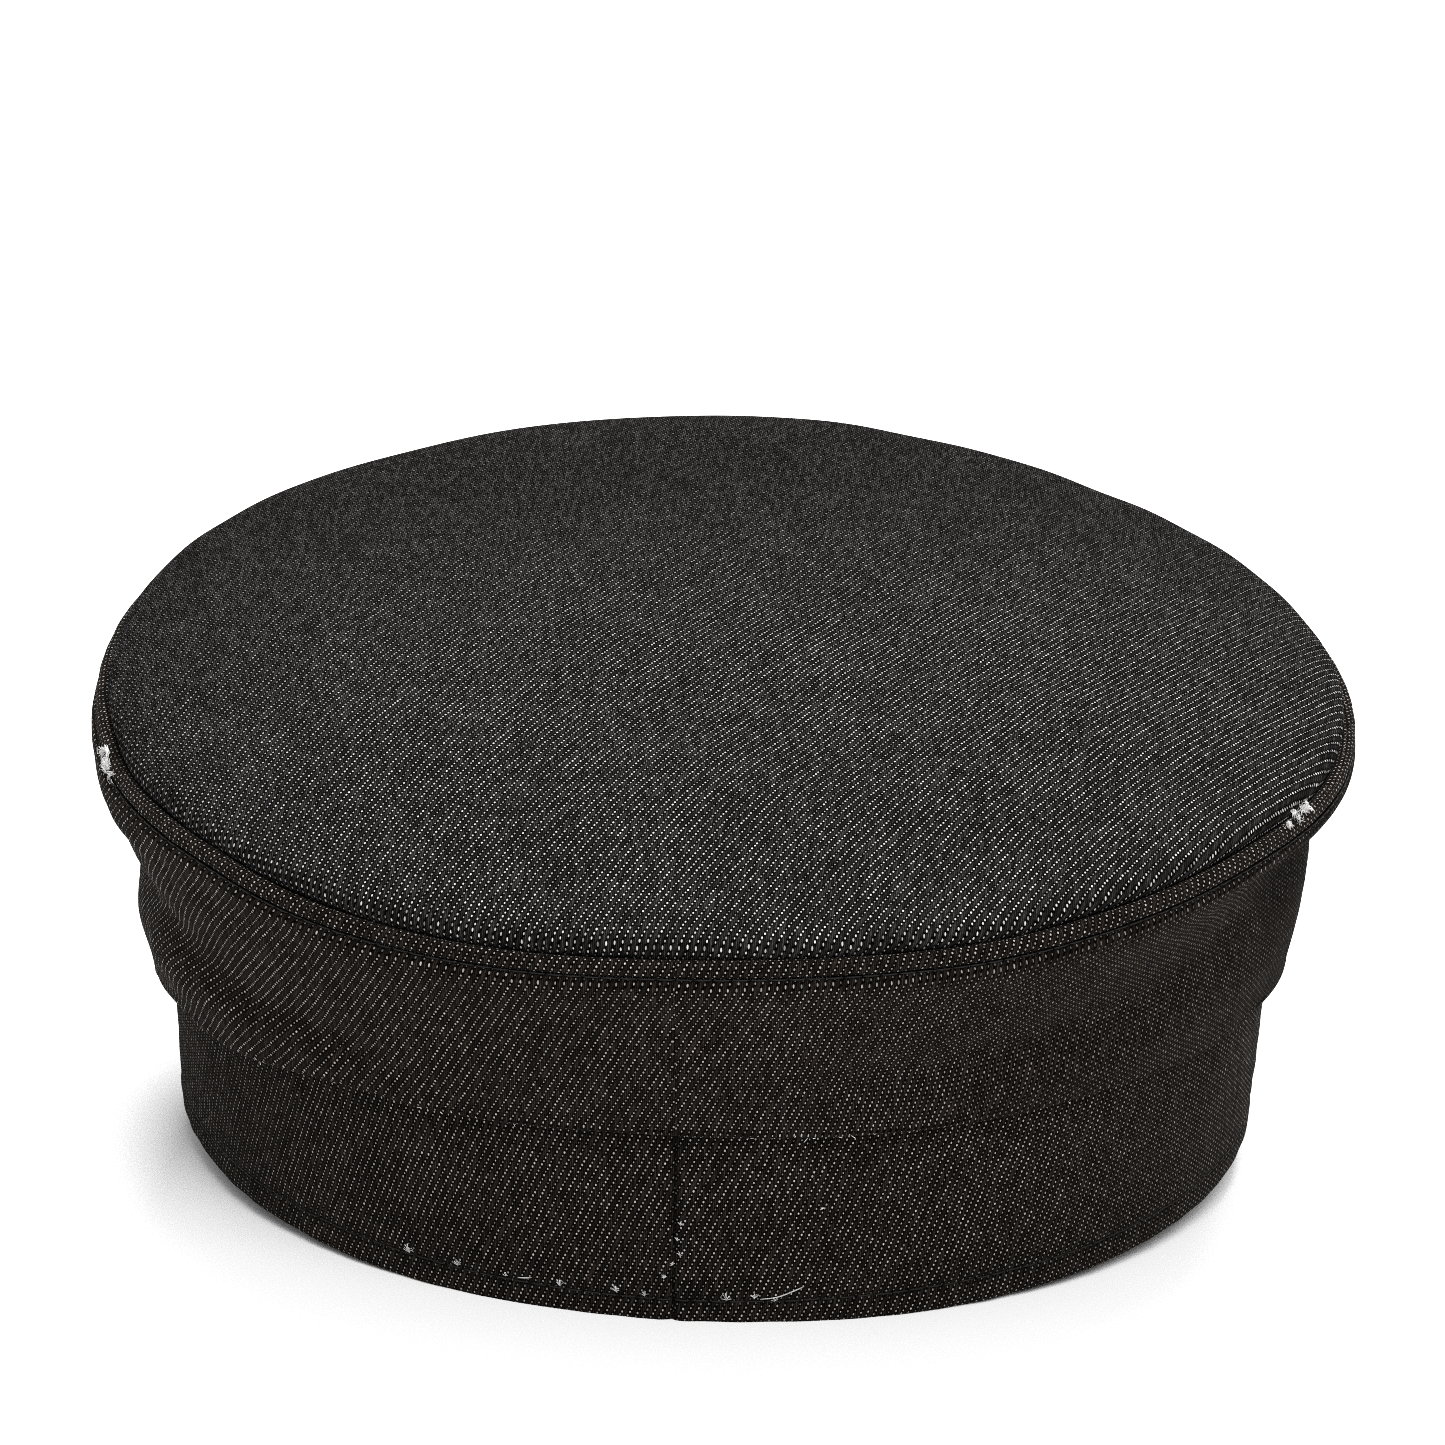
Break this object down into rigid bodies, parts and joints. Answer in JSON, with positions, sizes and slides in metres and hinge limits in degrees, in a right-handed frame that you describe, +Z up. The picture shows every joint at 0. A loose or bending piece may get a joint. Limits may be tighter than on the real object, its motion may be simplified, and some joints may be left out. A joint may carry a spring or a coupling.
{
  "type": "baker boy hat",
  "caption": "Black denim baker boy hat with a round flat crown, a rolled edge, a soft side that folds over the head band, and a short stiff peak.",
  "frame": {"origin": "middle of the hat's box, on the surface that it rests on", "axes": "+Z up, +Y towards the wearer's front, where the peak is, +X towards the wearer's right"},
  "size_m": [0.2168, 0.247, 0.1016],
  "materials": {
    "denim_top": "matt black denim with white weft flecks",
    "denim_side": "matt black denim with white weft flecks"
  },
  "bodies": {
    "root": {"band": "denim_side", "crown_side": "denim_side", "crown_welt": "denim_side", "crown_top": "denim_top", "peak": "denim_side"}
  },
  "joints": []
}
